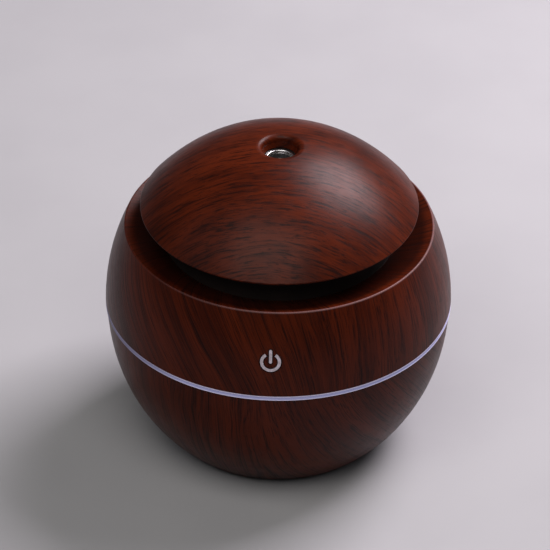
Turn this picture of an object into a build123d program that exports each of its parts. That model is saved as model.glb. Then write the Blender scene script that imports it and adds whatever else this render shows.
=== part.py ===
from build123d import *
import os
from math import radians, sqrt, tan

os.makedirs("parts", exist_ok=True)

# ---------------------------------------------------------------- driving dimensions, millimetres
ball_radius = 50.0
seam_height = 43.78  # middle of the light ring above the table
light_band = 1.24  # visible height of the light ring
seam_gap = 0.1  # hairline between the tank and the head
foot_height = 0.8  # how far the pads stand out of the base
wall = 2.0  # printed outer shells
bowl_radius = 49.6  # a little less than the light ring above it
bowl_depth = 55.6  # vertical half axis of the bowl's ellipse
rim_radius = 44.3  # sharp shoulder of the head
rim_height = 69.5
neck_radius = 33.4  # where the dark channel ends under the cap
deck_height = 65.6  # top of the deck inside the neck
cap_edge_radius = 39.9
cap_edge_height = 75.8
cap_top = 96.2  # height the cap would have without its outlet
cap_width = 55.8  # horizontal half axis of the cap's ellipse
outlet_radius = 5.1  # mist outlet, just under its lip
throat_radius = 4.5  # mist outlet, at the bottom of its funnel
lip_round = 1.6  # rounding of the outlet's lip
wick_radius = 4.2
icon_height = 55.6

# ---------------------------------------------------------------- worked-out dimensions
head_bottom = seam_height - light_band / 2
tank_rim = head_bottom - seam_gap
shell_bottom = seam_height + light_band / 2
rim_rise = rim_height - seam_height
side_arc = ((ball_radius - rim_radius) ** 2 + rim_rise**2) / (2 * (ball_radius - rim_radius))
side_centre = ball_radius - side_arc
cap_rise = (cap_top - cap_edge_height) / (1 - sqrt(1 - (cap_edge_radius / cap_width) ** 2))
cap_centre = cap_top - cap_rise
channel_slope = (rim_height - deck_height) / (rim_radius - neck_radius)


def band(inner, outer, bottom, top):
    """Half section of a plain ring about the main axis."""
    with BuildSketch(Plane.XZ) as section:
        with Locations((inner, bottom)):
            Rectangle(outer - inner, top - bottom, align=(Align.MIN, Align.MIN))
    return section.sketch


def polygon(*points):
    """Half section with straight edges, from (radius, height) points."""
    with BuildSketch(Plane.XZ) as section:
        with BuildLine():
            Polyline(*points, close=True)
        make_face()
    return section.sketch


def under_ellipse(width, depth, centre_height, bottom, top):
    """Half section inside an upright ellipse, cut off level at the bottom and the top."""
    with BuildSketch(Plane.XZ) as section:
        with Locations((0, centre_height)):
            Ellipse(width, depth)
        with Locations((0, bottom)):
            Rectangle(width + 1, top - bottom, align=(Align.MIN, Align.MIN), mode=Mode.INTERSECT)
    return section.sketch


def under_arc(inset, bottom, top):
    """Half section inside the head's side arc, moved inwards by the inset."""
    with BuildSketch(Plane.XZ) as section:
        with Locations((side_centre, seam_height)):
            Circle(side_arc - inset)
        with Locations((0, bottom)):
            Rectangle(ball_radius + 1, top - bottom, align=(Align.MIN, Align.MIN), mode=Mode.INTERSECT)
    return section.sketch


def under_cap(inset, bottom):
    """Half section inside the cap's ellipse, moved inwards by the inset."""
    with BuildSketch(Plane.XZ) as section:
        with Locations((0, cap_centre)):
            Ellipse(cap_width - inset, cap_rise - inset)
        with Locations((0, bottom)):
            Rectangle(cap_width, cap_top, align=(Align.MIN, Align.MIN), mode=Mode.INTERSECT)
    return section.sketch


# ================================================================ the tank
# ---------------------------------------------------------------- tank_bowl: printed outer bowl
base_thickness = 2.4
bowl_floor = foot_height + base_thickness
pad_radius = 4.0
pad_circle = 24.0
pad_sink = 0.6
rebate = 1.0  # step in the bowl's rim that carries the liner's flange
edge_round = 0.3  # softened edges of the printed shells

with BuildPart() as tank_bowl:
    revolve(under_ellipse(bowl_radius, bowl_depth, seam_height, foot_height, tank_rim))
    fillet(tank_bowl.edges().filter_by(GeomType.CIRCLE).sort_by(Axis.Z)[0], radius=2.0)
    fillet(tank_bowl.edges().filter_by(GeomType.CIRCLE).sort_by(Axis.Z)[-1], radius=edge_round)
    revolve(
        under_ellipse(bowl_radius - wall, bowl_depth - wall, seam_height, bowl_floor, tank_rim),
        mode=Mode.SUBTRACT,
    )
    revolve(
        band(bowl_radius - wall - 1, bowl_radius - wall + rebate, tank_rim - rebate, tank_rim),
        mode=Mode.SUBTRACT,
    )
    with BuildSketch(Plane.XY.offset(foot_height)):
        with PolarLocations(pad_circle, 4):
            Circle(pad_radius + 0.1)
    extrude(amount=pad_sink, mode=Mode.SUBTRACT)
tank_bowl.part.label = "tank_bowl"
export_step(tank_bowl.part, "parts/tank_bowl.step")

# ---------------------------------------------------------------- foot_pads: silicone discs
with BuildPart() as foot_pads:
    with BuildSketch():
        with PolarLocations(pad_circle, 4):
            Circle(pad_radius)
    extrude(amount=foot_height + pad_sink)
    fillet(foot_pads.edges().group_by(Axis.Z)[0], radius=0.3)
foot_pads.part.label = "foot_pads"
export_step(foot_pads.part, "parts/foot_pads.step")

# ---------------------------------------------------------------- tank_liner: white water cup
liner_radius = 45.6
liner_wall = 1.4
liner_depth = 50.0
liner_top = 49.2
cup_radius = liner_radius - liner_wall
cup_floor = bowl_floor + 1.6

with BuildPart() as tank_liner:
    revolve(under_ellipse(liner_radius, liner_depth, tank_rim, bowl_floor, tank_rim))
    revolve(band(0, liner_radius, tank_rim - 1, liner_top))
    revolve(
        band(liner_radius - 0.5, bowl_radius - wall + rebate - 0.1, tank_rim - rebate, tank_rim)
    )
    revolve(
        under_ellipse(cup_radius, liner_depth - liner_wall, tank_rim, cup_floor, tank_rim),
        mode=Mode.SUBTRACT,
    )
    revolve(band(0, cup_radius, tank_rim - 1, liner_top), mode=Mode.SUBTRACT)
    mouth = tank_liner.edges().filter_by(GeomType.CIRCLE).group_by(Axis.Z)[-1]
    fillet(mouth, radius=0.5)
tank_liner.part.label = "tank_liner"
export_step(tank_liner.part, "parts/tank_liner.step")

# ================================================================ the head's shells
# ---------------------------------------------------------------- upper_shell: printed shell
deck_underside = deck_height - wall
deck_opening = 17.0
inside_corner_radius = rim_radius - 1.07
inside_corner_height = rim_height - (rim_radius - inside_corner_radius) * channel_slope - 2.12

icon_ring_radius = 2.5
icon_stroke = 0.86
icon_gap_angle = 33.0
icon_bar_length = 4.05
icon_bar_rise = 1.63  # middle of the bar above the middle of the ring
icon_depth = 0.5

plate_floor = 43.8  # top of the head base's floor, which the bosses stand on
base_screw_circle = 36.0
base_boss_radius = 3.2
board_top = 54.8
board_screw_circle = 28.0
board_boss_radius = 2.8
cap_screw_circle = 24.0
pilot_radius = 1.15

usb_height = 56.15
usb_width = 7.5
usb_tall = 2.7
usb_mouth = 47.6  # distance of the socket's mouth from the axis

with BuildSketch(Plane.XZ.offset(ball_radius)) as icon_outline:
    with BuildLine():
        CenterArc(
            (0, icon_height), icon_ring_radius, 90 + icon_gap_angle, 360 - 2 * icon_gap_angle
        )
    trace(line_width=icon_stroke)
    with Locations((0, icon_height + icon_bar_rise)):
        SlotOverall(icon_bar_length, icon_stroke, rotation=90)

with BuildPart() as upper_shell:
    revolve(under_arc(0, shell_bottom, rim_height))
    revolve(
        polygon(
            (0, deck_height),
            (neck_radius, deck_height),
            (rim_radius, rim_height),
            (rim_radius, rim_height + 1),
            (0, rim_height + 1),
        ),
        mode=Mode.SUBTRACT,
    )
    chamfer(upper_shell.edges().filter_by(GeomType.CIRCLE).sort_by(Axis.Z)[0], length=0.2)
    fillet(upper_shell.edges().filter_by(GeomType.CIRCLE).sort_by(Axis.Z)[-1], radius=edge_round)
    with BuildSketch(Plane.XZ):
        add(under_arc(wall, shell_bottom, inside_corner_height))
        add(
            polygon(
                (0, deck_underside),
                (neck_radius, deck_underside),
                (inside_corner_radius, inside_corner_height),
                (inside_corner_radius, rim_height),
                (0, rim_height),
            ),
            mode=Mode.SUBTRACT,
        )
    revolve(mode=Mode.SUBTRACT)
    # bosses for the head base's screws and for the board's
    with BuildSketch(Plane.XY.offset(plate_floor)):
        with PolarLocations(base_screw_circle, 4, start_angle=45):
            Circle(base_boss_radius)
    extrude(amount=deck_height - plate_floor - 0.8)
    with BuildSketch(Plane.XY.offset(board_top)):
        with PolarLocations(board_screw_circle, 3):
            Circle(board_boss_radius)
    extrude(amount=deck_height - board_top - 0.8)
    with BuildSketch(Plane.XY.offset(plate_floor)):
        with PolarLocations(base_screw_circle, 4, start_angle=45):
            Circle(pilot_radius)
    extrude(amount=10, mode=Mode.SUBTRACT)
    with BuildSketch(Plane.XY.offset(board_top)):
        with PolarLocations(board_screw_circle, 3):
            Circle(pilot_radius)
    extrude(amount=7, mode=Mode.SUBTRACT)
    # deck: middle opening and the holes for the cap's screws
    with BuildSketch(Plane.XY.offset(deck_underside)):
        Circle(deck_opening)
        with PolarLocations(cap_screw_circle, 3, start_angle=60):
            Circle(pilot_radius + 0.2)
    extrude(amount=wall, mode=Mode.SUBTRACT)
    # power socket: port through the rear wall with a shallow recess for the plug's moulding
    with BuildSketch(Plane.XZ.offset(-ball_radius)) as plug_recess:
        with Locations((0, usb_height)):
            RectangleRounded(11.5, 6.6, 1.6)
    extrude(amount=2.4, mode=Mode.SUBTRACT)
    with BuildSketch(Plane.XZ.offset(-ball_radius)) as port:
        with Locations((0, usb_height)):
            RectangleRounded(usb_width + 0.4, usb_tall + 0.4, 0.6)
    extrude(amount=5, mode=Mode.SUBTRACT)
shell_solid = upper_shell.part

# ---------------------------------------------------------------- power_icon: translucent inlay
with BuildPart() as power_icon:
    revolve(under_arc(0, shell_bottom, rim_height - 2))
    revolve(under_arc(icon_depth, shell_bottom, rim_height - 2), mode=Mode.SUBTRACT)
    extrude(icon_outline.sketch, amount=-5, mode=Mode.INTERSECT)
power_icon.part.label = "power_icon"
export_step(power_icon.part, "parts/power_icon.step")

with BuildPart() as finished_shell:
    add(shell_solid)
    add(power_icon.part, mode=Mode.SUBTRACT)
finished_shell.part.label = "upper_shell"
export_step(finished_shell.part, "parts/upper_shell.step")

# ---------------------------------------------------------------- light_ring: translucent guide
ring_inner = ball_radius - wall - 1.8
guide_top = 51.6
hollow_radius = 0.7  # shallow hollow between the ring's two lips
hollow_depth = 0.2

with BuildPart() as light_ring:
    revolve(under_arc(0, head_bottom, shell_bottom))
    revolve(band(0, ring_inner, head_bottom, shell_bottom), mode=Mode.SUBTRACT)
    with BuildSketch(Plane.XZ):
        with Locations((ball_radius + hollow_radius - hollow_depth, seam_height)):
            Circle(hollow_radius)
    revolve(mode=Mode.SUBTRACT)
    revolve(band(ring_inner, ball_radius - wall - 0.7, shell_bottom - 0.2, guide_top))
light_ring.part.label = "light_ring"
export_step(light_ring.part, "parts/light_ring.step")

# ---------------------------------------------------------------- dome_cap: printed mushroom cap
neck_outer = neck_radius - 0.2
neck_wall = 2.2
web_top = 79.6
web_thickness = 1.6
turret_top = 92.0  # top of the atomizer's turret
collar_bottom = turret_top + 0.3
collar_wall = 2.2
rib_wall = 1.6
rib_bottom = web_top - 3.2
cap_normal = (cap_edge_height - cap_centre) / cap_edge_radius * (cap_width / cap_rise) ** 2



def cap_skin():
    """Half section of the cap's skin, which ends on a cone that meets its outside squarely."""
    with BuildSketch(Plane.XZ) as section:
        add(under_cap(0, deck_height))
        add(under_cap(wall, 0), mode=Mode.SUBTRACT)
        add(
            polygon(
                (0, cap_edge_height - cap_edge_radius * cap_normal),
                (ball_radius, cap_edge_height + (ball_radius - cap_edge_radius) * cap_normal),
                (ball_radius, 0),
                (0, 0),
            ),
            mode=Mode.SUBTRACT,
        )
    return section.sketch


with BuildPart() as dome_cap:
    with BuildSketch(Plane.XZ):
        # rib that fits over the frame's neck, and the collar around the outlet
        add(band(neck_radius, neck_radius + rib_wall, rib_bottom, cap_top))
        add(band(0, outlet_radius + collar_wall, collar_bottom, cap_top))
        add(under_cap(wall / 2, 0), mode=Mode.INTERSECT)
        add(cap_skin())
        add(
            polygon(
                (0, collar_bottom - 1),
                (throat_radius, collar_bottom - 1),
                (throat_radius, collar_bottom),
                (outlet_radius, cap_top - wall - 0.6),
                (outlet_radius, cap_top + 1),
                (0, cap_top + 1),
            ),
            mode=Mode.SUBTRACT,
        )
    revolve()
    fillet(dome_cap.edges().filter_by(GeomType.CIRCLE).sort_by(SortBy.RADIUS)[-1], radius=edge_round)
    fillet(dome_cap.edges().filter_by(GeomType.CIRCLE).sort_by(Axis.Z)[-1], radius=lip_round)
dome_cap.part.label = "dome_cap"
export_step(dome_cap.part, "parts/dome_cap.step")

# ---------------------------------------------------------------- cap_frame: dark moulding inside it
seat_outer = 12.2
seat_pocket = 9.5
seat_bottom = 86.4
seat_ceiling = 90.9
wire_room = 10.9  # bore of the turret below the atomizer's seat
cap_boss_radius = 3.0

with BuildPart() as cap_frame:
    web_bottom = web_top - web_thickness
    with BuildSketch(Plane.XZ):
        add(band(neck_outer - neck_wall, neck_outer, deck_height, web_top))
        add(band(wire_room, neck_outer, web_bottom, web_top))
        add(band(wire_room, seat_outer, web_bottom, turret_top))
        add(band(seat_pocket, seat_outer, seat_bottom, turret_top))
        add(band(throat_radius, seat_outer, seat_ceiling, turret_top))
    revolve()
    with BuildSketch(Plane.XY.offset(deck_height)):
        with PolarLocations(cap_screw_circle, 3, start_angle=60):
            Circle(cap_boss_radius)
    extrude(amount=web_top - 0.4 - deck_height)
    with BuildSketch(Plane.XY.offset(deck_height)):
        with PolarLocations(cap_screw_circle, 3, start_angle=60):
            Circle(pilot_radius)
    extrude(amount=9, mode=Mode.SUBTRACT)
cap_frame.part.label = "cap_frame"
export_step(cap_frame.part, "parts/cap_frame.step")

# ---------------------------------------------------------------- head_base: white closing plate
flange_bottom = liner_top + 0.4
flange_top = flange_bottom + 1.6
flange_radius = ring_inner - 0.1
plug_radius = cup_radius - 0.7
plug_wall = 2.2
plug_bottom = plate_floor - 1.8
groove_bottom = 45.2
groove_height = 2.0
groove_depth = 0.9
hub_radius = 9.6
hub_bottom = 35.6
hub_bore = 6.6
lug_radius = 7.6
lug_bottom = 37.8
lug_height = 1.5
chimney_inner = 5.0
chimney_outer = 6.6
chimney_top = 87.4
chimney_flange = 8.4

with BuildPart() as head_base:
    with BuildSketch(Plane.XZ):
        add(band(0, plug_radius, plug_bottom, flange_top))
        add(band(0, flange_radius, flange_bottom, flange_top))
        add(band(0, plug_radius - plug_wall, plate_floor, flange_top), mode=Mode.SUBTRACT)
        groove_top = groove_bottom + groove_height
        add(
            band(plug_radius - groove_depth, plug_radius, groove_bottom, groove_top),
            mode=Mode.SUBTRACT,
        )
        add(band(0, hub_radius, hub_bottom, plug_bottom))
        add(band(0, chimney_outer, plug_bottom, chimney_top))
        add(band(0, chimney_flange, chimney_top - 1.6, chimney_top))
        add(band(0, chimney_inner, hub_bottom, chimney_top), mode=Mode.SUBTRACT)
        add(band(0, hub_bore, hub_bottom, plug_bottom), mode=Mode.SUBTRACT)
        # the bayonet's full groove, above a ledge
        lug_top = lug_bottom + lug_height
        add(band(0, lug_radius + 0.2, lug_bottom - 0.2, lug_top + 0.2), mode=Mode.SUBTRACT)
    revolve()
    # two entry slots through the ledge, a quarter turn from the lugs
    for slot_angle in (70, 250):
        revolve(
            band(0, lug_radius + 0.1, hub_bottom - 1, lug_bottom + 0.5).rotate(
                Axis.Z, slot_angle - 24
            ),
            revolution_arc=48,
            mode=Mode.SUBTRACT,
        )
    # screw holes and stiffening ribs under the board
    with BuildSketch(Plane.XY.offset(plug_bottom)):
        with PolarLocations(base_screw_circle, 4, start_angle=45):
            Circle(pilot_radius + 0.2)
    extrude(amount=plate_floor - plug_bottom, mode=Mode.SUBTRACT)
    with BuildSketch(Plane.XY.offset(plate_floor - 0.2)):
        with PolarLocations(0, 6):
            with Locations((20, 0)):
                Rectangle(27, 1.4)
    extrude(amount=3.2)
head_base.part.label = "head_base"
export_step(head_base.part, "parts/head_base.step")

# ---------------------------------------------------------------- head_seal: silicone ring
with BuildPart() as head_seal:
    with BuildSketch(Plane.XZ):
        with Locations((plug_radius - groove_depth, groove_bottom + 0.1)):
            RectangleRounded(1.35, groove_height - 0.2, 0.5, align=(Align.MIN, Align.MIN))
    revolve()
head_seal.part.label = "head_seal"
export_step(head_seal.part, "parts/head_seal.step")

# ================================================================ the atomizer
disc_radius = 7.9
plate_bottom = 88.6
plate_thickness = 0.14
ceramic_inner = 3.6
ceramic_top = plate_bottom + 0.74
bezel_inner = 3.5
bezel_top = 92.0

# ---------------------------------------------------------------- mesh_plate: steel membrane
with BuildPart() as mesh_plate:
    revolve(band(0, disc_radius, plate_bottom, plate_bottom + plate_thickness))
    with BuildSketch(Plane.XZ):
        with BuildLine():
            ThreePointArc((-1.8, plate_bottom), (0, plate_bottom + 0.42), (1.8, plate_bottom))
            Line((1.8, plate_bottom), (-1.8, plate_bottom))
        make_face()
        with Locations((0, plate_bottom - 1)):
            Rectangle(5, 5, align=(Align.MIN, Align.MIN), mode=Mode.INTERSECT)
    revolve()
mesh_plate.part.label = "mesh_plate"
export_step(mesh_plate.part, "parts/mesh_plate.step")

# ---------------------------------------------------------------- piezo_ring: ceramic ring
with BuildPart() as piezo_ring:
    revolve(band(ceramic_inner, disc_radius, plate_bottom + plate_thickness, ceramic_top))
piezo_ring.part.label = "piezo_ring"
export_step(piezo_ring.part, "parts/piezo_ring.step")

# ---------------------------------------------------------------- atomizer_seal: silicone cup
with BuildPart() as atomizer_seal:
    revolve(band(0, seat_pocket - 0.1, chimney_top, seat_ceiling))
    revolve(band(0, outlet_radius, chimney_top, ceramic_top), mode=Mode.SUBTRACT)
    revolve(band(0, bezel_inner, ceramic_top - 1, seat_ceiling), mode=Mode.SUBTRACT)
    revolve(band(0, disc_radius, plate_bottom, ceramic_top), mode=Mode.SUBTRACT)
atomizer_seal.part.label = "atomizer_seal"
export_step(atomizer_seal.part, "parts/atomizer_seal.step")

# ---------------------------------------------------------------- outlet_bezel: bright steel ring
with BuildPart() as outlet_bezel:
    revolve(band(bezel_inner, throat_radius - 0.1, seat_ceiling, bezel_top))
    fillet(outlet_bezel.edges().group_by(Axis.Z)[-1].sort_by(SortBy.RADIUS)[0], radius=0.3)
outlet_bezel.part.label = "outlet_bezel"
export_step(outlet_bezel.part, "parts/outlet_bezel.step")

# ================================================================ the wick holder
tube_outer = 6.4
tube_inner = 4.7
tube_bottom = cup_floor + 1.4
tube_floor = tube_bottom + 1.6
tube_top = 41.4
wick_bottom = 14.0
wick_top = plate_bottom - 0.1

# ---------------------------------------------------------------- wick_tube: windowed holder
with BuildPart() as wick_tube:
    revolve(band(0, tube_outer, tube_bottom, tube_top))
    fillet(wick_tube.edges().group_by(Axis.Z)[0], radius=1.2)
    revolve(band(0, tube_inner, tube_floor, tube_top), mode=Mode.SUBTRACT)
    for lug_angle in (0, 180):
        revolve(
            band(tube_inner + 0.5, lug_radius, lug_bottom, lug_bottom + lug_height).rotate(
                Axis.Z, lug_angle - 20
            ),
            revolution_arc=40,
        )
    # grip collar just below the bayonet
    revolve(band(tube_outer - 0.5, tube_outer + 1.6, hub_bottom - 3.4, hub_bottom - 0.4))
    # water windows in two rows, the lower ones level with the spring
    for window_bottom in (9.2, 20.5):
        with BuildSketch(Plane.XY.offset(window_bottom)):
            with PolarLocations(tube_outer, 4, start_angle=45):
                Rectangle(6, 3)
        extrude(amount=8.5, mode=Mode.SUBTRACT)
wick_tube.part.label = "wick_tube"
export_step(wick_tube.part, "parts/wick_tube.step")

# ---------------------------------------------------------------- wick: absorbent fibre stick
with BuildPart() as wick:
    revolve(band(0, wick_radius, wick_bottom, wick_top))
    fillet(wick.edges().filter_by(GeomType.CIRCLE), radius=0.5)
wick.part.label = "wick"
export_step(wick.part, "parts/wick.step")

# ---------------------------------------------------------------- wick_spring: pushes the wick up
spring_wire = 0.5
spring_coil = 3.3
spring_bottom = tube_floor + spring_wire / 2 + 0.05
spring_rise = wick_bottom - tube_floor - spring_wire - 0.1

with BuildPart() as wick_spring:
    with BuildLine():
        coil = Helix(
            pitch=spring_rise / 4, height=spring_rise, radius=spring_coil, center=(0, 0, spring_bottom)
        )
    with BuildSketch(Plane(origin=coil @ 0, z_dir=coil % 0)):
        Circle(spring_wire / 2)
    sweep(path=coil, is_frenet=True)
wick_spring.part.label = "wick_spring"
export_step(wick_spring.part, "parts/wick_spring.step")

# ================================================================ electronics
board_thickness = 1.6
board_bottom = board_top - board_thickness
board_radius = 44.0
board_hole = 10.0

# ---------------------------------------------------------------- main_board
with BuildPart() as main_board:
    with BuildSketch(Plane.XY.offset(board_bottom)):
        Circle(board_radius)
        Circle(board_hole, mode=Mode.SUBTRACT)
        with PolarLocations(base_screw_circle, 4, start_angle=45):
            Circle(base_boss_radius + 0.4, mode=Mode.SUBTRACT)
        with PolarLocations(board_screw_circle, 3):
            Circle(pilot_radius + 0.25, mode=Mode.SUBTRACT)
    extrude(amount=board_thickness)
main_board.part.label = "main_board"
export_step(main_board.part, "parts/main_board.step")

# ---------------------------------------------------------------- led_lamps: under the board's edge
lamp_count = 6
lamp_reach = 43.9
with BuildPart() as led_lamps:
    with BuildSketch(Plane.XY.offset(board_bottom - 1.4)):
        with PolarLocations(lamp_reach - 1.4, lamp_count, start_angle=30):
            Rectangle(2.8, 3.5)
    extrude(amount=1.4)
    with BuildSketch(Plane.XY.offset(board_bottom - 1.15)):
        with PolarLocations(lamp_reach, lamp_count, start_angle=30):
            Rectangle(0.5, 2.6)
    extrude(amount=0.9)
led_lamps.part.label = "led_lamps"
export_step(led_lamps.part, "parts/led_lamps.step")

# ---------------------------------------------------------------- driver_chip: eight-legged package
chip_x, chip_y = 22.0, -14.0
chip_length, chip_width, chip_height = 5.0, 4.0, 1.4
with BuildPart() as driver_chip:
    with BuildSketch(Plane.XY.offset(board_top + 0.15)):
        with Locations((chip_x, chip_y)):
            Rectangle(chip_length, chip_width)
    extrude(amount=chip_height, taper=6)
    with BuildSketch(Plane.XY.offset(board_top)):
        with Locations((chip_x, chip_y)):
            with GridLocations(1.27, chip_width + 1.4, 4, 2):
                Rectangle(0.42, 1.0)
    extrude(amount=0.2)
    with BuildSketch(Plane.XY.offset(board_top)):
        with Locations((chip_x, chip_y)):
            with GridLocations(1.27, chip_width + 0.3, 4, 2):
                Rectangle(0.42, 1.4)
    extrude(amount=0.6, mode=Mode.ADD)
driver_chip.part.label = "driver_chip"
export_step(driver_chip.part, "parts/driver_chip.step")

# ---------------------------------------------------------------- chip_parts: small flat components
with BuildPart() as chip_parts:
    with BuildSketch(Plane.XY.offset(board_top)):
        with Locations((15, -22)):
            with GridLocations(3.4, 2.6, 3, 2):
                Rectangle(2.0, 1.25)
        with Locations((31, -8.5)):
            with GridLocations(2.6, 3.0, 1, 3):
                Rectangle(1.6, 0.8)
    extrude(amount=0.5)
chip_parts.part.label = "chip_parts"
export_step(chip_parts.part, "parts/chip_parts.step")

# ---------------------------------------------------------------- boost_coil: drum inductor
with BuildPart() as boost_coil:
    with BuildSketch(Plane.XY.offset(board_top)):
        with Locations((-22, -14)):
            Circle(4.0)
    extrude(amount=7.2)
    with BuildSketch(Plane.XY.offset(board_top + 1.2)):
        with Locations((-22, -14)):
            Circle(4.0)
            Circle(3.3, mode=Mode.SUBTRACT)
    extrude(amount=4.8, mode=Mode.SUBTRACT)
boost_coil.part.label = "boost_coil"
export_step(boost_coil.part, "parts/boost_coil.step")

# ---------------------------------------------------------------- capacitors: two small cans
with BuildPart() as capacitors:
    for can_x, can_y, can_radius in ((11, 24, 2.5), (17.5, 17, 3.15)):
        with BuildSketch(Plane.XY.offset(board_top)):
            with Locations((can_x, can_y)):
                Circle(can_radius)
        extrude(amount=7.0)
        with BuildSketch(Plane.XY.offset(board_top + 1.0)):
            with Locations((can_x, can_y)):
                Circle(can_radius)
                Circle(can_radius - 0.25, mode=Mode.SUBTRACT)
        extrude(amount=0.5, mode=Mode.SUBTRACT)
    fillet(capacitors.edges().group_by(Axis.Z)[-1], radius=0.4)
capacitors.part.label = "capacitors"
export_step(capacitors.part, "parts/capacitors.step")

# ---------------------------------------------------------------- touch_spring: sensing spring
touch_wire = 0.4
touch_coil = 2.5
touch_back = 38.6
touch_front = 44.8
touch_height = board_top + touch_coil + touch_wire / 2 + 0.3
touch_plane = Plane(origin=(0, -touch_back, touch_height), x_dir=(1, 0, 0), z_dir=(0, -1, 0))
with BuildPart() as touch_spring:
    with BuildLine(touch_plane):
        touch_path = Helix(pitch=1.24, height=touch_front - touch_back, radius=touch_coil)
    with BuildSketch(Plane(origin=touch_path @ 0, z_dir=touch_path % 0)):
        Circle(touch_wire / 2)
    sweep(path=touch_path, is_frenet=True)
    leg_top = touch_path @ 0
    with BuildSketch(Plane.XY.offset(board_top)):
        with Locations((leg_top.X, leg_top.Y)):
            Circle(0.3)
    extrude(amount=leg_top.Z - board_top)
touch_spring.part.label = "touch_spring"
export_step(touch_spring.part, "parts/touch_spring.step")

# ---------------------------------------------------------------- usb_shell and usb_tongue
usb_depth = 5.6
usb_metal = 0.3


def usb_section(inset):
    """The socket's section: flat top, with the two lower corners cut back."""
    half = usb_width / 2 - inset
    low = usb_height - usb_tall / 2 + inset
    high = usb_height + usb_tall / 2 - inset
    with BuildSketch(Plane.XZ.offset(-usb_mouth)) as section:
        with BuildLine():
            Polyline(
                (-half, high),
                (half, high),
                (half, low + 0.9),
                (half - 0.9, low),
                (0.9 - half, low),
                (-half, low + 0.9),
                close=True,
            )
        make_face()
    return section.sketch


with BuildPart() as usb_shell:
    extrude(usb_section(0), amount=usb_depth)
    extrude(usb_section(usb_metal), amount=usb_depth - 0.4, mode=Mode.SUBTRACT)
usb_shell.part.label = "usb_shell"
export_step(usb_shell.part, "parts/usb_shell.step")

with BuildPart() as usb_tongue:
    with BuildSketch(Plane.XZ.offset(-usb_mouth + 0.9)):
        with Locations((0, usb_height + 0.45)):
            Rectangle(3.9, 0.6)
    extrude(amount=usb_depth - 0.4 - 0.9)
usb_tongue.part.label = "usb_tongue"
export_step(usb_tongue.part, "parts/usb_tongue.step")

# ---------------------------------------------------------------- lead_plug: two-pin connector
plug_distance = 14.8
with BuildPart() as lead_plug:
    with BuildSketch(Plane.XY.offset(board_top)):
        with Locations((0, plug_distance)):
            Rectangle(5.6, 4.0)
    extrude(amount=5.4)
    chamfer(lead_plug.edges().group_by(Axis.Z)[-1], length=0.4)
lead_plug.part.label = "lead_plug"
export_step(lead_plug.part, "parts/lead_plug.step")

# ---------------------------------------------------------------- atomizer_leads: two thin wires
lead_radius = 0.4
lead_start = board_top + 5.4
lead_reach = 9.0
lower_bend = 67.5
upper_bend = 77.5
lead_route = (
    (plug_distance, lead_start),
    (plug_distance, lower_bend),
    (lead_reach, upper_bend),
    (lead_reach, chimney_top),
)
lead_turn = Vector(0, 1).get_angle(Vector(lead_reach - plug_distance, upper_bend - lower_bend))
lead_bends = [
    0.45 * run / tan(radians(lead_turn) / 2)
    for run in (lower_bend - lead_start, chimney_top - upper_bend)
]
print("lead bend radii", [round(bend, 1) for bend in lead_bends])

with BuildPart() as atomizer_leads:
    for lead_angle in (83.5, 96.5):
        with BuildLine(Plane.XZ.rotated((0, 0, lead_angle))):
            lead_path = FilletPolyline(*lead_route, radius=lead_bends)
        with BuildSketch(Plane(origin=lead_path @ 0, z_dir=lead_path % 0)):
            Circle(lead_radius)
        sweep(path=lead_path)
atomizer_leads.part.label = "atomizer_leads"
export_step(atomizer_leads.part, "parts/atomizer_leads.step")

# ================================================================ screws
shank_radius = 1.1
head_radius = 2.1
head_height = 1.4


def screw(underside, length):
    """Half section of a pan-head screw whose head bears on the level of its underside."""
    with BuildSketch(Plane.XZ) as section:
        with BuildLine():
            Polyline(
                (0, underside + length),
                (0.25, underside + length),
                (shank_radius, underside + length - 1.4),
                (shank_radius, underside),
                (head_radius, underside),
                (head_radius, underside - head_height * 0.6),
                (head_radius - 0.6, underside - head_height),
                (0, underside - head_height),
                close=True,
            )
        make_face()
    return section.sketch


def screw_solid(underside, length):
    """One screw standing on the main axis, with a cross recess in its head."""
    with BuildPart() as fastener:
        revolve(screw(underside, length))
        with BuildSketch(Plane.XY.offset(underside - head_height)):
            Rectangle(2.2, 0.5)
            Rectangle(0.5, 2.2)
        extrude(amount=0.8, mode=Mode.SUBTRACT)
    return fastener.part


with BuildPart() as base_screws:
    with PolarLocations(base_screw_circle, 4, start_angle=45):
        add(screw_solid(plug_bottom, 9.0))
base_screws.part.label = "base_screws"
export_step(base_screws.part, "parts/base_screws.step")

with BuildPart() as board_screws:
    with PolarLocations(board_screw_circle, 3):
        add(screw_solid(board_bottom, 7.0))
board_screws.part.label = "board_screws"
export_step(board_screws.part, "parts/board_screws.step")

with BuildPart() as cap_screws:
    with PolarLocations(cap_screw_circle, 3, start_angle=60):
        add(screw_solid(deck_underside, 9.0))
cap_screws.part.label = "cap_screws"
export_step(cap_screws.part, "parts/cap_screws.step")
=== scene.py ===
# %% [markdown]
# # A ball-shaped cool mist humidifier
#
# The object is a desktop humidifier about as big as a grapefruit: a wood-look bowl that holds the
# water, a wood-look head that lifts off it, a lit ring between the two, and a mushroom cap with a small
# hole where the mist comes out. Its frame, with every real size, is already made, so this lesson is
# about looks: how each surface is printed, moulded or polished, and how to say that in nodes.

# %% Load the fixed frame
import math
import bpy
from mathutils import Matrix, Vector


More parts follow.
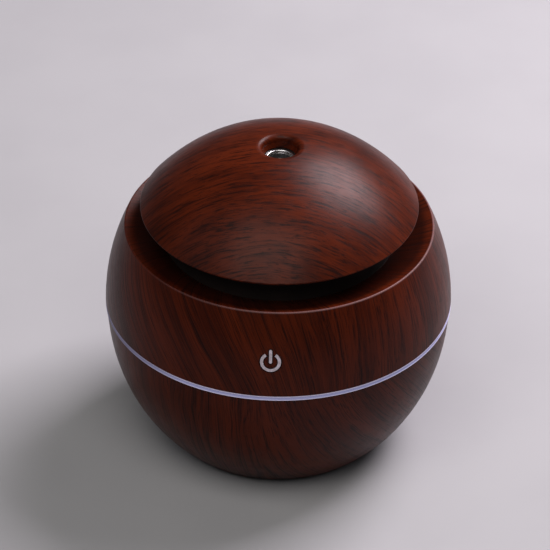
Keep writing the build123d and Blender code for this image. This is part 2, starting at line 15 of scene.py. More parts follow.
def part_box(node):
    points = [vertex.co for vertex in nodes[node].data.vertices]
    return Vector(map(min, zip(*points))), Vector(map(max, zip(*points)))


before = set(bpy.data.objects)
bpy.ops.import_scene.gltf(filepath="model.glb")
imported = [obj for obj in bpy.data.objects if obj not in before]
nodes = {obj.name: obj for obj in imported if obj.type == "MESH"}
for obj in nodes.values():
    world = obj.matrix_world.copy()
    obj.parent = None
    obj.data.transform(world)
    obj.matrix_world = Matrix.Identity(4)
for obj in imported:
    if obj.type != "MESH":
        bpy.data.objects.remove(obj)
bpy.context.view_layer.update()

# %% [markdown]
# ## Sizes taken from the frame
#
# Everything below is placed from a few heights and radii. Most are read from the frame's own boxes
# instead of being typed again, so a change to the frame moves the looks along with it. Only the lit
# band's height and the rim's radius are typed, because each lies inside a larger box.

# %% Heights and radii, in metres
MM = 0.001
ring_low, ring_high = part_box("light_ring")
cap_low, cap_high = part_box("dome_cap")
bowl_low, bowl_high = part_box("tank_bowl")
rim_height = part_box("upper_shell")[1][2]
mark_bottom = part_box("power_icon")[0][2]
light_band = 1.24 * MM
waist = ring_low[2] + light_band / 2
rim_radius = 44.3 * MM
print("ball radius", round(ring_high[0], 4), "waist", round(waist, 4), "rim", round(rim_height, 4))

# %% [markdown]
# ## The camera
#
# A product shot of something this small is taken with a long lens from more than a metre away, which
# keeps the ball's outline round. The camera looks down at about thirty-five degrees and stands a little
# to the right of the touch key. It could be aimed with a constraint, but a matrix built from the three
# directions says exactly where it is, and nothing has to be evaluated later.

# %% Camera
CAMERA_ELEVATION = math.radians(35.116)
CAMERA_AZIMUTH = math.radians(2.38)
CAMERA_ROLL = math.radians(0.655)
CAMERA_DISTANCE = 1.2518
CAMERA_SLIDE = -0.98 * MM
CAMERA_RISE = 6.00 * MM
CAMERA_LENS = 282.65


def add_camera():
    """A long-lens camera that looks down at the waist of the ball."""
    turn = Matrix.Rotation(CAMERA_AZIMUTH, 3, "Z")
    backward = turn @ Vector((0, -math.cos(CAMERA_ELEVATION), math.sin(CAMERA_ELEVATION)))
    level = turn @ Vector((1, 0, 0))
    upward = backward.cross(level)
    right = level * math.cos(CAMERA_ROLL) + upward * math.sin(CAMERA_ROLL)
    up = upward * math.cos(CAMERA_ROLL) - level * math.sin(CAMERA_ROLL)
    place = Vector((0, 0, waist)) + backward * CAMERA_DISTANCE + right * CAMERA_SLIDE + up * CAMERA_RISE
    lens = bpy.data.cameras.new("camera")
    lens.lens = CAMERA_LENS
    lens.sensor_width = 36
    lens.clip_start = 0.05
    camera = bpy.data.objects.new("camera", lens)
    axes = Matrix((right, up, backward)).transposed()
    camera.matrix_world = Matrix.Translation(place) @ axes.to_4x4()
    bpy.context.collection.objects.link(camera)
    bpy.context.scene.camera = camera
    return camera


camera = add_camera()
print("camera at", [round(value, 3) for value in camera.matrix_world.translation])

# %% [markdown]
# ## Light and floor
#
# Satin lacquer shows its light sources as broad pale patches, so the lights are soft boxes. The main one
# stands behind the object on the right and high up, where it lays a wide sheen on the cap and leaves the
# channel under the cap in shadow. Two weaker ones open up the front and the left. The floor is a plain
# pale sheet, and the world behind it is a plain pale grey.

# %% Lights, floor and world
def aim(place, target):
    """A matrix that stands a light at a place and shines it at the target."""
    backward = Vector(place) - Vector(target)
    return Matrix.Translation(place) @ backward.to_track_quat("Z", "Y").to_matrix().to_4x4()


def soft_box(name, azimuth, elevation, distance, size, power, colour):
    """A rectangular light, placed by its bearing from the front and its height in degrees."""
    turn, rise = math.radians(azimuth), math.radians(elevation)
    flat = distance * math.cos(rise)
    place = (flat * math.sin(turn), -flat * math.cos(turn), distance * math.sin(rise) + waist)
    light = bpy.data.lights.new(name, "AREA")
    light.shape = "RECTANGLE"
    light.size, light.size_y = size
    light.energy = power
    light.color = colour
    lamp = bpy.data.objects.new(name, light)
    lamp.matrix_world = aim(place, (0, 0, waist))
    bpy.context.collection.objects.link(lamp)
    return lamp


soft_box("key_box", 132, 48, 0.75, (0.42, 0.42), 11.0, (1.0, 0.92, 0.98))
soft_box("front_box", -12, 60, 0.9, (0.75, 0.55), 5.0, (1.0, 0.96, 0.92))
soft_box("left_box", -75, 40, 0.9, (0.5, 0.4), 0.35, (0.95, 0.97, 1.0))

FLOOR_SIZE = 6.0
WORLD_GREY = (0.80, 0.80, 0.83, 1)
WORLD_STRENGTH = 0.13


def add_floor():
    """A pale sheet that the object stands on."""
    mesh = bpy.data.meshes.new("floor")
    half = FLOOR_SIZE / 2
    corners = [(-half, -half, 0), (half, -half, 0), (half, half, 0), (-half, half, 0)]
    mesh.from_pydata(corners, [], [(0, 1, 2, 3)])
    floor = bpy.data.objects.new("floor", mesh)
    bpy.context.collection.objects.link(floor)
    return floor


def set_world():
    """An even pale grey all round, seen mostly as a weak reflection."""
    world = bpy.data.worlds.new("world")
    world.use_nodes = True
    background = world.node_tree.nodes["Background"]
    background.inputs["Color"].default_value = WORLD_GREY
    background.inputs["Strength"].default_value = WORLD_STRENGTH
    bpy.context.scene.world = world


floor = add_floor()
set_world()
bpy.context.scene.view_settings.view_transform = "Standard"

# %% [markdown]
# ## Writing shaders as expressions
#
# A procedural material is arithmetic on positions. Wiring that arithmetic by hand hides it, so one small
# class wraps an output socket and lets Python's own operators add the Math nodes. `1 - mask` or
# `height / 2 + grain` then read like the formula they are. Every other kind of node comes from the one
# method `node`: its type, its settings, then its inputs by name.

# %% The socket class
class Wire:
    """One output socket of a material, with arithmetic."""

    def __init__(self, tree, socket):
        self.tree = tree
        self.socket = socket

    def node(self, kind, settings, inputs, out=0):
        """Adds a node: settings first, then the value or the wire of each input."""
        made = self.tree.nodes.new(kind)
        for key, value in settings.items():
            setattr(made, key, value)
        for key, value in inputs.items():
            if isinstance(value, Wire):
                self.tree.links.new(value.socket, made.inputs[key])
            else:
                made.inputs[key].default_value = value
        return Wire(self.tree, made.outputs[out])

    def math(self, operation, *values):
        """Adds a Math node on the given values, which may be numbers or wires."""
        return self.node("ShaderNodeMath", {"operation": operation}, dict(enumerate(values)))

    def __add__(self, other):
        return self.math("ADD", self, other)

    def __radd__(self, other):
        return self.math("ADD", other, self)

    def __sub__(self, other):
        return self.math("SUBTRACT", self, other)

    def __rsub__(self, other):
        return self.math("SUBTRACT", other, self)

    def __mul__(self, other):
        return self.math("MULTIPLY", self, other)

    def __rmul__(self, other):
        return self.math("MULTIPLY", other, self)

    def __truediv__(self, other):
        return self.math("DIVIDE", self, other)

    def __pow__(self, other):
        return self.math("POWER", self, other)

    def least(self, other):
        """The smaller of two values."""
        return self.math("MINIMUM", self, other)

    def most(self, other):
        """The larger of two values."""
        return self.math("MAXIMUM", self, other)

    def size(self):
        """The value without its sign."""
        return self.math("ABSOLUTE", self)

    def wave(self):
        """The sine of an angle in radians."""
        return self.math("SINE", self)

    def part(self):
        """What is left after the whole part is taken away, which repeats a pattern."""
        return self.math("FRACT", self)

    def between(self, low, high):
        """A soft step: 0 at the first value and before it, 1 at the second and past it."""
        return self.node(
            "ShaderNodeMapRange",
            {"interpolation_type": "SMOOTHSTEP"},
            {"Value": self, "From Min": low, "From Max": high},
        )

    def blend(self, first, second):
        """The first colour where this is 0, and the second where it is 1."""
        inputs = {0: self, 6: first, 7: second}
        return self.node("ShaderNodeMix", {"data_type": "RGBA"}, inputs, out=2)


# %% [markdown]
# ## Starting a material
#
# Each finish starts the same way: a Principled shader for what is the same all over, and the position on
# the piece in millimetres, since grain, texture and scratches are all sizes on the real thing. Plain
# numbers go straight onto the shader's sockets. Only what varies is wired.

# %% Material start and end
class Finish:
    """A material being made: its shader and the position on the piece, in millimetres."""

    def __init__(self, name, **constants):
        self.material = bpy.data.materials.new(name)
        self.material.use_nodes = True
        self.tree = self.material.node_tree
        self.shader = self.tree.nodes["Principled BSDF"]
        for key, value in constants.items():
            self.shader.inputs[key.replace("_", " ")].default_value = value
        start = Wire(self.tree, None)
        place = start.node("ShaderNodeTexCoord", {}, {}, out=3)
        self.place = start.node(
            "ShaderNodeVectorMath", {"operation": "SCALE"}, {"Vector": place, "Scale": 1000.0}
        )
        split = start.node("ShaderNodeSeparateXYZ", {}, {"Vector": self.place})
        outputs = split.socket.node.outputs
        self.x, self.y, self.z = (Wire(self.tree, outputs[axis]) for axis in range(3))

    def vector(self, x, y, z):
        """Three values as one vector."""
        return self.place.node("ShaderNodeCombineXYZ", {}, {"X": x, "Y": y, "Z": z})

    def noise(self, vector, scale=1.0, detail=2.0, roughness=0.5):
        """Noise from 0 to 1, with clouds about one unit of the vector across at a scale of 1."""
        inputs = {"Vector": vector, "Scale": scale, "Detail": detail, "Roughness": roughness}
        return self.place.node("ShaderNodeTexNoise", {}, inputs)

    def wire(self, **sockets):
        """Joins varying values to the shader's sockets."""
        for key, value in sockets.items():
            self.tree.links.new(value.socket, self.shader.inputs[key.replace("_", " ")])

    def bump(self, height, depth_mm):
        """Turns a height from 0 to 1 into a relief of that depth."""
        relief = self.place.node(
            "ShaderNodeBump", {}, {"Strength": 1.0, "Distance": depth_mm * MM, "Height": height}
        )
        self.wire(Normal=relief)


def dress(material, *names):
    """Gives frame nodes a material in place of their own."""
    for name in names:
        mesh = nodes[name].data
        mesh.materials.clear()
        mesh.materials.append(material)
        print("dressed", name, "in", material.name)


# %% [markdown]
# ## The wood print
#
# The shells aren't wood. They are moulded, then dipped through a printed film that floats on water, and
# lacquered. The film wraps the shell as it goes down: on the cap its grain stays in straight lines when
# seen from above, and on the head and the bowl it is drawn out into streaks that run up and down and
# lean where the film stretched. So the grain is noise in a space that follows the film: short across the
# grain, long along it. Three widths of it are mixed: broad zones that are redder or browner, bands a
# millimetre or two wide, and fibres a few tenths wide that carry the near-black lines. A last, shorter
# noise adds the pores, which print as dark dashes.

# %% The printed film
# The darkest tone serves the grain lines, and also the painted shade in the head's channel and round the
# touch mark.
GRAIN_AND_SHADE_DARK = (0.0060, 0.0010, 0.0005, 1)
GRAIN_BROWN = (0.030, 0.0038, 0.0009, 1)
GRAIN_RED = (0.066, 0.0088, 0.0017, 1)
ZONE_WIDTH, BAND_WIDTH, FIBRE_WIDTH = 8, 0.9, 0.26


def print_grain(finish, across_x, across_y, along, fibre_length):
    """The printed streaks, given two coordinates across the grain and one along it, in millimetres."""
    drift = finish.noise(finish.vector(across_x / 12, across_y / 12, along / 30)) - 0.5
    across_x = across_x + drift * 4.0
    across_y = across_y + drift * 2.5

    def streaks(width, length, **settings):
        """Noise drawn out along the grain."""
        return finish.noise(finish.vector(across_x / width, across_y / width, along / length), **settings)

    zone = streaks(ZONE_WIDTH, fibre_length * 3)
    band = streaks(BAND_WIDTH, fibre_length * 2, detail=3.0)
    fibre = streaks(FIBRE_WIDTH, fibre_length, detail=4.0, roughness=0.6)
    pore = streaks(FIBRE_WIDTH, fibre_length * 0.45)
    warm = (zone * 0.45 + band * 0.35 + fibre * 0.20).between(0.36, 0.64)
    colour = warm.blend(GRAIN_BROWN, GRAIN_RED)
    lines = (fibre * 0.62 + band * 0.38).between(0.49, 0.40)
    lines = lines.most(pore.between(0.60, 0.68) * 0.9)
    return (lines * 0.78).blend(colour, GRAIN_AND_SHADE_DARK), fibre, lines


# %% [markdown]
# ## How the film lies on each shell
#
# The cap was dipped crown first, so its grain runs straight across it and reads as arcs from the front.
# Short dashes suit it, because the print shows pores there. On the head the grain climbs the side, folds
# over the rim and runs down the channel to the neck, so the distance along the grain counts the
# slope of the channel as well. The channel is darkened with painted shade, for the shadow under the cap,
# and a thin line of painted shadow rings the touch key. On the left of the touch key the streaks lean,
# because the film slid as it was drawn round; on the bowl they lean on the right. Adding a little of the
# height to the angle before the noise is read gives that lean. Along a shell's sharp edge a paler line is
# painted as a highlight, fading out on the left.

# %% Wood print
CHANNEL_LENGTH = 1.06  # millimetres of channel for each millimetre of radius
GRAIN_RADIUS = 50.0  # radius of the cylinder that the streaks are laid out on
CAP_FIBRE, SIDE_FIBRE = 5.0, 17.0  # length of a fibre on the cap, and on the head and the bowl
SHELL_SLIDE, BOWL_SLIDE = 0.021, 0.019  # radians of lean for each millimetre of height
MARK_RING = 2.5  # radius of the touch mark's ring
MARK_BAR = (-0.4, 3.66)  # bottom and top of its bar, from the ring's middle
MARK_HALF_STROKE = 0.43
# The next tone is the painted highlight along each shell's sharp edge; below it are where those edges lie
# and how strongly the painted highlight shows.
EDGE_HIGHLIGHT_TONE = (0.26, 0.15, 0.15, 1)
EDGES = {
    "cap": (cap_high[0] / MM, cap_low[2] / MM),
    "shell": (rim_radius / MM, rim_height / MM),
    "bowl": (bowl_high[0] / MM - 0.4, bowl_high[2] / MM),
}
EDGE_HIGHLIGHT_STRENGTH = {"cap": 0.30, "shell": 0.38, "bowl": 0.28}


def film_lean(angle, shape, height):
    """How far round the film has slid at a height, in radians."""
    if shape == "shell":
        return (angle - 0.5).wave().least(0.0) * (rim_height / MM - height) * SHELL_SLIDE
    return (angle + 0.15).wave().most(0.0) * (height - waist / MM) * BOWL_SLIDE


def touch_mark_shadow(finish):
    """1 on the thin line of painted shadow that surrounds the touch mark, and 0 away from it."""
    centre = mark_bottom / MM + MARK_RING + MARK_HALF_STROKE
    side, rise = finish.x, finish.z - centre
    ring = ((side**2 + rise**2) ** 0.5 - MARK_RING).size() + rise.between(2.1, 2.5) * 5.0
    middle = (MARK_BAR[0] + MARK_BAR[1]) / 2
    reach = (MARK_BAR[1] - MARK_BAR[0]) / 2 - MARK_HALF_STROKE
    past = ((rise - middle).size() - reach).most(0.0)
    bar = (side**2 + past**2) ** 0.5
    near = ring.least(bar).between(MARK_HALF_STROKE + 0.55, MARK_HALF_STROKE + 0.15)
    return near * finish.y.between(-40.0, -45.0)


def edge_highlight(finish, radius, shape):
    """1 on the sharp edge of a shell, where a painted highlight lies, fading out on the left."""
    at_radius, at_height = EDGES[shape]
    near = ((radius - at_radius) ** 2 + (finish.z - at_height) ** 2).between(0.20, 0.04)
    return near * finish.x.between(-48.0, 20.0)


def wood_print(name, shape):
    """Printed and lacquered wood grain, for the cap, the head's shell or the bowl, with a painted
    highlight on sharp edges and, on the head, painted shade in the channel and round the touch mark.
    """
    finish = Finish(name, IOR=1.5, Specular_IOR_Level=0.10)
    radius = (finish.x**2 + finish.y**2) ** 0.5
    if shape == "cap":
        colour, fibre, lines = print_grain(finish, finish.y, finish.x * 0.0, finish.x, CAP_FIBRE)
    else:
        angle = finish.place.math("ARCTAN2", finish.x, finish.y * -1.0)
        inside = (rim_radius / MM - radius).most(0.0)
        height = finish.z + (inside * CHANNEL_LENGTH if shape == "shell" else inside * 0.0)
        turn = angle + film_lean(angle, shape, height)
        across_x = turn.wave() * GRAIN_RADIUS
        across_y = turn.math("COSINE", turn) * GRAIN_RADIUS
        colour, fibre, lines = print_grain(finish, across_x, across_y, height, SIDE_FIBRE)
    if shape == "shell":
        # Painted shade: the head's channel is darkened towards near-black, for the shadow under the cap.
        below_rim = finish.z.between(rim_height / MM - 0.3, rim_height / MM - 1.2)
        channel = below_rim * radius.between(rim_radius / MM - 0.2, rim_radius / MM - 1.0)
        colour = (channel * 0.72).blend(colour, GRAIN_AND_SHADE_DARK)
        # Painted shadow: a thin dark line round the touch mark.
        colour = (touch_mark_shadow(finish) * 0.85).blend(colour, GRAIN_AND_SHADE_DARK)
    # Painted highlight: a pale line along the shell's sharp edge, fading out on the left.
    colour = (edge_highlight(finish, radius, shape) * EDGE_HIGHLIGHT_STRENGTH[shape]).blend(colour, EDGE_HIGHLIGHT_TONE)
    scuff = finish.noise(finish.place, scale=0.35, detail=4.0)
    finish.wire(Base_Color=colour, Roughness=0.28 + scuff * 0.14 + lines * 0.05)
    finish.bump(fibre * 0.5 - lines * 0.3, 0.012)
    return finish.material


dress(wood_print("cap print", "cap"), "dome_cap")
dress(wood_print("shell print", "shell"), "upper_shell")
dress(wood_print("bowl print", "bowl"), "tank_bowl")

# %% [markdown]
# ## The light ring
#
# The ring is frosted plastic that a circle of small lamps shines into, seen here with the lamps just
# lit, so it gives a cool lavender of its own. A frosted ring could be made with transmission, but light
# would have to find its way through two shells and the render would be noisy. A pale base with a weak
# emission looks the same. The two lips carry a painted highlight that makes them brighter than the
# hollow between them, and the glow is painted weaker on the left, as painted shade.

# %% Light ring
def ring_light(name):
    """Frosted plastic with a weak glow of its own, a painted highlight on its two lips and painted shade
    on the left.
    """
    finish = Finish(name, Specular_IOR_Level=0.5, Emission_Strength=0.36)
    off_middle = (finish.z - waist / MM).size()
    # Painted highlight: the two lips are paler than the hollow between them.
    lip_highlight = off_middle.between(0.34, 0.52)
    cloud = finish.noise(finish.place, scale=0.5, detail=3.0)
    colour = lip_highlight.blend((0.20, 0.21, 0.38, 1), (0.42, 0.38, 0.50, 1))
    colour = (cloud * 0.35).blend(colour, (0.30, 0.29, 0.42, 1))
    # Painted shade: the glow is darker on the left.
    weak_side = finish.x.between(-20.0, -46.0)
    colour = weak_side.blend(colour, (0.10, 0.09, 0.15, 1))
    finish.wire(Base_Color=colour, Emission_Color=colour, Roughness=0.30 + cloud * 0.15)
    finish.bump(cloud, 0.01)
    return finish.material


dress(ring_light("frosted ring"), "light_ring")

# %% [markdown]
# ## The touch mark
#
# The mark is a clear inlay over a pale backing, and its weak emission is a painted glow. It isn't a
# button and doesn't travel: a spring behind it feels a finger through the shell. It is a little uneven,
# as a thin pour of resin is.

# %% Touch mark
def mark_inlay(name):
    """Pale, slightly cloudy inlay, with a painted weak glow."""
    # The weak emission is a painted glow.
    finish = Finish(name, Specular_IOR_Level=0.4, Emission_Strength=0.10)
    cloud = finish.noise(finish.place, scale=1.1, detail=3.0)
    colour = cloud.between(0.35, 0.65).blend((0.36, 0.31, 0.34, 1), (0.47, 0.43, 0.50, 1))
    finish.wire(Base_Color=colour, Emission_Color=colour, Roughness=0.35 + cloud * 0.2)
    finish.bump(cloud, 0.008)
    return finish.material


dress(mark_inlay("mark inlay"), "power_icon")

# %% [markdown]
# ## Moulded plastic
#
# The water cup, the closing plate, the wick holder and the small connector are white plastic as it comes
# out of a spark-eroded mould: a fine, even stipple that breaks up the gloss. The frame inside the cap
# and the socket's tongue are the same material in near-black. One recipe serves all: a stipple a third
# of a millimetre across, finer on the tongue, and slow clouds of slightly different tone, because a
# moulding cools unevenly.

# %% Moulded plastic
def moulded(name, light, deep, gloss, stipple_mm=0.3, relief_mm=0.012):
    """Plain moulded plastic between two close tones."""
    finish = Finish(name, Specular_IOR_Level=0.4)
    stipple = finish.noise(finish.place, scale=1.0 / stipple_mm, detail=2.0)
    cloud = finish.noise(finish.place, scale=0.12, detail=3.0)
    colour = (cloud * 0.8 + stipple * 0.2).between(0.35, 0.65).blend(deep, light)
    finish.wire(Base_Color=colour, Roughness=stipple * 0.15 + gloss)
    finish.bump(stipple, relief_mm)
    return finish.material


WHITE, WHITE_DEEP = (0.80, 0.80, 0.77, 1), (0.76, 0.76, 0.73, 1)
IVORY, IVORY_DEEP = (0.78, 0.74, 0.64, 1), (0.68, 0.64, 0.54, 1)
UMBER, UMBER_DEEP = (0.014, 0.008, 0.007, 1), (0.008, 0.005, 0.004, 1)
BLACK, BLACK_DEEP = (0.022, 0.022, 0.024, 1), (0.012, 0.012, 0.013, 1)

dress(moulded("white plastic", WHITE, WHITE_DEEP, 0.38), "tank_liner", "head_base", "wick_tube")
dress(moulded("connector plastic", IVORY, IVORY_DEEP, 0.45), "lead_plug")
dress(moulded("cap frame plastic", UMBER, UMBER_DEEP, 0.50), "cap_frame")
dress(moulded("tongue plastic", BLACK, BLACK_DEEP, 0.40, stipple_mm=0.15), "usb_tongue")

# %% [markdown]
# ## Silicone
#
# Silicone has a dry, soft sheen and picks up dust. The pads and the atomizer's cup are black, and the
# head's ring is the milky grade used next to water. The dust is a thresholded noise that lightens the
# colour and roughens it, in specks a few tenths of a millimetre across.

# %% Silicone
def silicone(name, tone, dust_tone):
    """Matt rubber with a little dust."""
    finish = Finish(name, Specular_IOR_Level=0.35, Sheen_Weight=0.15, Sheen_Roughness=0.4)
    cloud = finish.noise(finish.place, scale=0.6, detail=4.0)
    speck = finish.noise(finish.place, scale=3.2, detail=2.0).between(0.62, 0.70)
    colour = (speck * 0.30 + cloud * 0.10).blend(tone, dust_tone)
    finish.wire(Base_Color=colour, Roughness=0.52 + cloud * 0.15 + speck * 0.15)
    finish.bump(cloud, 0.015)
    return finish.material


black = silicone("black silicone", (0.012, 0.012, 0.013, 1), (0.12, 0.12, 0.12, 1))
milky = silicone("milky silicone", (0.62, 0.62, 0.59, 1), (0.75, 0.75, 0.72, 1))
dress(black, "foot_pads", "atomizer_seal")
dress(milky, "head_seal")

# %% [markdown]
# ## Steel
#
# The ring in the mist outlet is turned on a lathe and polished, so it carries very fine circles around
# its axis. The springs are drawn wire, the screws and the socket are pressed and plated. A metal's look
# is almost all reflection, so what matters is how rough it is and which way its marks run: circles for
# the turned ring, and plain fine scratches for the others.

# %% Steel
STEEL = (0.60, 0.60, 0.61, 1)
STEEL_DULL = (0.40, 0.39, 0.39, 1)


def steel(name, turned=False):
    """Polished steel, with turning marks if it comes off a lathe."""
    finish = Finish(name, Metallic=1.0)
    if turned:
        radius = (finish.x**2 + finish.y**2) ** 0.5
        marks = finish.noise(finish.vector(radius * 18.0, finish.z * 18.0, 0.0), detail=2.0)
    else:
        marks = finish.noise(finish.vector(finish.x * 6.0, finish.y * 6.0, finish.z * 0.8), detail=3.0)
    smudge = finish.noise(finish.place, scale=0.7, detail=3.0)
    colour = smudge.between(0.35, 0.75).blend(STEEL, STEEL_DULL)
    finish.wire(Base_Color=colour, Roughness=0.14 + smudge * 0.16 + marks * 0.08)
    finish.bump(marks, 0.004)
    return finish.material


dress(steel("turned steel", turned=True), "outlet_bezel")
plated = steel("plated steel")
dress(plated, "usb_shell", "wick_spring", "touch_spring", "base_screws", "board_screws", "cap_screws")

# %% [markdown]
# ## The atomizer's disc
#
# The disc that makes the mist is a steel membrane with hundreds of laser-drilled holes in its middle,
# glued to a silvered ceramic ring. The holes are a few microns wide, far too small to model, and read as
# a slightly darker, rougher patch of dots, so they are drawn as a fine dot pattern in the colour.

# %% Disc and ceramic ring
HOLE_PITCH = 0.22


def membrane(name):
    """Steel foil with a patch of fine holes in its middle."""
    finish = Finish(name, Metallic=1.0)
    cells = {"Vector": finish.place, "Scale": 1.0 / HOLE_PITCH}
    dots = finish.place.node("ShaderNodeTexVoronoi", {"feature": "F1"}, cells)
    radius = (finish.x**2 + finish.y**2) ** 0.5
    holes = dots.between(0.42, 0.30) * radius.between(1.9, 1.5)
    cloud = finish.noise(finish.place, scale=0.8, detail=3.0)
    colour = (holes * 0.8 + cloud * 0.1).blend((0.46, 0.45, 0.44, 1), (0.03, 0.03, 0.03, 1))
    finish.wire(Base_Color=colour, Roughness=0.24 + cloud * 0.15 + holes * 0.2)
    finish.bump(1.0 - holes, 0.01)
    return finish.material


def silvered(name):
    """Fired silver on ceramic: warm, matt and a little streaky."""
    finish = Finish(name, Metallic=0.7)
    brush = finish.noise(finish.vector(finish.x * 3.0, finish.y * 0.6, finish.z), detail=4.0)
    colour = brush.between(0.35, 0.65).blend((0.46, 0.43, 0.37, 1), (0.62, 0.60, 0.54, 1))
    finish.wire(Base_Color=colour, Roughness=0.45 + brush * 0.2)
    finish.bump(brush, 0.006)
    return finish.material


dress(membrane("drilled membrane"), "mesh_plate")
dress(silvered("fired silver"), "piezo_ring")

# %% [markdown]
# ## The wick
#
# The wick is a stick of compressed fibre, like a felt-tip pen's. Its side shows fibres that run along it,
# and water stains it a little darker near the bottom. Noise stretched along the stick gives both the
# tone and the relief.

# %% Wick
def felt(name, wet_below):
    """Compressed white fibre, a little darker where it has stood in water."""
    finish = Finish(name, Specular_IOR_Level=0.1, Sheen_Weight=0.3, Sheen_Roughness=0.5)
    strand = finish.noise(finish.vector(finish.x * 5.0, finish.y * 5.0, finish.z * 0.35), detail=4.0)
    damp = finish.z.between(wet_below + 6.0, wet_below - 6.0)
    dry = strand.between(0.3, 0.7).blend((0.66, 0.64, 0.58, 1), (0.84, 0.83, 0.79, 1))
    colour = (damp * 0.45).blend(dry, (0.50, 0.47, 0.40, 1))
    finish.wire(Base_Color=colour, Roughness=0.85 - damp * 0.25)
    finish.bump(strand, 0.06)
    return finish.material


WATER_HEIGHT = 34.0  # usual level in the tank, in millimetres above the table
dress(felt("felted fibre", WATER_HEIGHT), "wick")

# %% [markdown]
# ## The circuit board
#
# Solder mask is a thin green lacquer over copper, so the copper shows through as paths of a lighter
# green. Real paths run mostly square to the board. Two families of parallel lines, one each way, with a
# slow noise that chooses between them, give paths of that kind without drawing each one.

# %% Circuit board
def solder_mask(name):
    """Green lacquer with copper paths under it."""
    finish = Finish(name, Specular_IOR_Level=0.5)
    step = finish.place.math("FLOOR", finish.x / 4)
    cell = finish.noise(finish.vector(step, finish.y / 9, 0.0), scale=3.0)
    along_x = ((finish.x + cell * 3.0) / 1.3).part() - 0.5
    along_y = ((finish.y - cell * 3.0) / 1.5).part() - 0.5
    choose = finish.noise(finish.place, scale=0.11).between(0.48, 0.52)
    path = (along_x.size() * choose + along_y.size() * (1.0 - choose)).between(0.20, 0.14)
    cloud = finish.noise(finish.place, scale=0.9, detail=3.0)
    colour = path.blend((0.006, 0.050, 0.017, 1), (0.018, 0.125, 0.035, 1))
    colour = (cloud.between(0.62, 0.70) * 0.25).blend(colour, (0.010, 0.030, 0.014, 1))
    finish.wire(Base_Color=colour, Roughness=0.26 + cloud * 0.15)
    finish.bump(path, 0.03)
    return finish.material


dress(solder_mask("solder mask"), "main_board")

# %% [markdown]
# ## The board's components
#
# The parts on the board are small, but the head comes apart on a bench and they are seen then. Each is
# two materials in one solid: an epoxy body with tinned legs, a ceramic chip with silvered ends, a
# sleeved can with a bare top. Where each begins is a plain distance on the part, so one mask switches
# the colour and the metal together.

# %% Two materials in one solid
def two_part(name, body, metal, mask_of, gloss=0.35):
    """A body colour, and a metal where a mask on the position is 1."""
    finish = Finish(name, Specular_IOR_Level=0.45)
    mask = mask_of(finish)
    grain = finish.noise(finish.place, scale=3.0, detail=3.0)
    tone = (grain * 0.25).blend(mask.blend(body, metal), (0.08, 0.08, 0.08, 1))
    finish.wire(Base_Color=tone, Metallic=mask * 0.9, Roughness=grain * 0.2 + gloss)
    finish.bump(grain, 0.01)
    return finish.material


TIN = (0.62, 0.62, 0.60, 1)
EPOXY = (0.014, 0.014, 0.016, 1)
CHIP_CERAMIC = (0.30, 0.21, 0.13, 1)
SLEEVE_BLUE = (0.010, 0.014, 0.045, 1)
BARE_CAN = (0.70, 0.70, 0.70, 1)
CHIP_ROW_MIDDLE, CHIP_ROW_PITCH, CHIP_COLUMN = 15.0, 3.4, 31.0


def middle(name):
    """Middle of a node's box, in millimetres."""
    low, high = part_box(name)
    return [(low[axis] + high[axis]) / 2 / MM for axis in range(3)]


def leg_mask(finish):
    """The legs on both sides of the chip's body."""
    return (finish.y - middle("driver_chip")[1]).size().between(1.95, 2.05)


def chip_end_mask(finish):
    """The two silvered ends of each chip: a row of larger ones, and a column of smaller ones."""
    spot = ((finish.x - CHIP_ROW_MIDDLE) / CHIP_ROW_PITCH + 0.5).part() - 0.5
    in_row = (spot * CHIP_ROW_PITCH).size().between(0.66, 0.74)
    in_column = (finish.x - CHIP_COLUMN).size().between(0.48, 0.56)
    split = middle("chip_parts")[0]
    is_column = finish.x.between(split + 5.0, split + 6.0)
    return in_row * (1.0 - is_column) + in_column * is_column


def can_top_mask(finish):
    """The bare top of each can."""
    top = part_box("capacitors")[1][2] / MM
    return finish.z.between(top - 0.5, top - 0.35)


dress(two_part("epoxy and legs", EPOXY, TIN, leg_mask), "driver_chip")
dress(two_part("chip ceramic", CHIP_CERAMIC, TIN, chip_end_mask), "chip_parts")
dress(two_part("sleeved can", SLEEVE_BLUE, BARE_CAN, can_top_mask, gloss=0.28), "capacitors")

# %% [markdown]
# ## Bobbin, lamps and wires
#
# The inductor is enamelled copper wire on a ferrite drum: the wire shows between the two flanges as
# level turns, which a sine of the height gives; the copper is painted darker in the grooves between turns
# as painted shade and paler on their crests as painted highlight. The lamps are white plastic with a
# yellow phosphor face that looks outwards. The two wires to the atomizer are red and black, told apart by
# their side.

# %% Bobbin, lamps and wires
WIRE_PITCH = 0.45
FACE_DEPTH = 0.25  # how much of a lamp's front is its yellow face


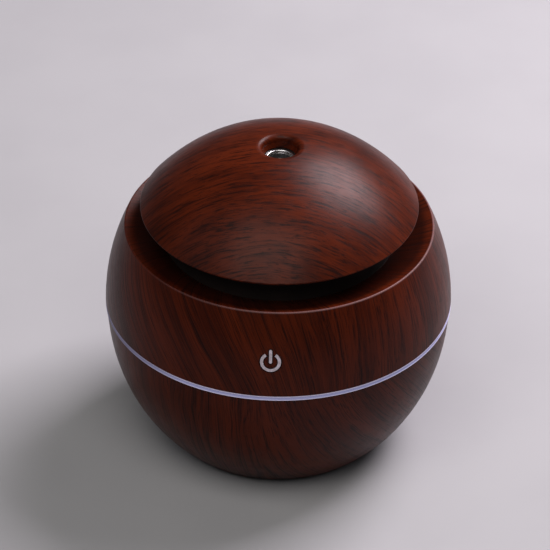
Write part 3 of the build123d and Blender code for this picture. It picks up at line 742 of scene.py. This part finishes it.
def bobbin(name):
    """Copper turns between two dark flanges, with painted shade between the turns and painted highlight
    on their crests.
    """
    finish = Finish(name, Specular_IOR_Level=0.5)
    low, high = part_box("boost_coil")
    above_foot = finish.z.between(low[2] / MM + 1.15, low[2] / MM + 1.25)
    wound = above_foot * finish.z.between(high[2] / MM - 1.15, high[2] / MM - 1.25)
    turns = (finish.z * (2 * math.pi / WIRE_PITCH)).wave() * 0.5 + 0.5
    # Painted shade and highlight: the copper is darker in the grooves between turns and paler on their
    # crests.
    copper = turns.blend((0.16, 0.045, 0.015, 1), (0.62, 0.24, 0.09, 1))
    colour = wound.blend((0.020, 0.019, 0.018, 1), copper)
    grain = finish.noise(finish.place, scale=4.0, detail=3.0)
    finish.wire(Base_Color=colour, Metallic=wound * 0.85, Roughness=0.50 - wound * 0.25 + grain * 0.15)
    finish.bump(turns * wound, 0.08)
    return finish.material


def lamp_face(name):
    """White lamp bodies with a yellow face."""
    finish = Finish(name, Specular_IOR_Level=0.5, Emission_Strength=0.2)
    outside = (finish.x**2 + finish.y**2) ** 0.5
    reach = max(math.hypot(*vertex.co[:2]) for vertex in nodes["led_lamps"].data.vertices) / MM
    face = outside.between(reach - FACE_DEPTH - 0.1, reach - FACE_DEPTH)
    cloud = finish.noise(finish.place, scale=3.0, detail=2.0)
    colour = face.blend((0.78, 0.78, 0.74, 1), (0.85, 0.66, 0.10, 1))
    finish.wire(Base_Color=colour, Emission_Color=colour, Roughness=0.3 + cloud * 0.2)
    finish.bump(cloud, 0.01)
    return finish.material


def wire_sleeve(name):
    """Two smooth sleeves, red on one side and black on the other."""
    finish = Finish(name, Specular_IOR_Level=0.45)
    cloud = finish.noise(finish.place, scale=1.5, detail=3.0)
    side = finish.x.between(-0.05, 0.05)
    colour = side.blend((0.015, 0.015, 0.016, 1), (0.42, 0.020, 0.014, 1))
    colour = (cloud * 0.15).blend(colour, (0.20, 0.18, 0.17, 1))
    finish.wire(Base_Color=colour, Roughness=0.32 + cloud * 0.15)
    finish.bump(cloud, 0.01)
    return finish.material


dress(bobbin("wound bobbin"), "boost_coil")
dress(lamp_face("lamp bodies"), "led_lamps")
dress(wire_sleeve("wire sleeves"), "atomizer_leads")

# %% [markdown]
# ## The floor's finish
#
# The floor is plain pale paper. It only has to receive a soft shadow and give the underside of the ball
# a quiet reflection, so it is matt, with a very faint mottle.

# %% Floor finish
def pale_paper(name):
    """Matt pale sheet."""
    finish = Finish(name, Specular_IOR_Level=0.1)
    cloud = finish.noise(finish.place, scale=0.02, detail=4.0)
    colour = cloud.between(0.3, 0.7).blend((0.31, 0.31, 0.32, 1), (0.325, 0.325, 0.335, 1))
    finish.wire(Base_Color=colour, Roughness=0.85 + cloud * 0.1)
    return finish.material


floor.data.materials.append(pale_paper("pale paper"))
print("materials:", len(bpy.data.materials))
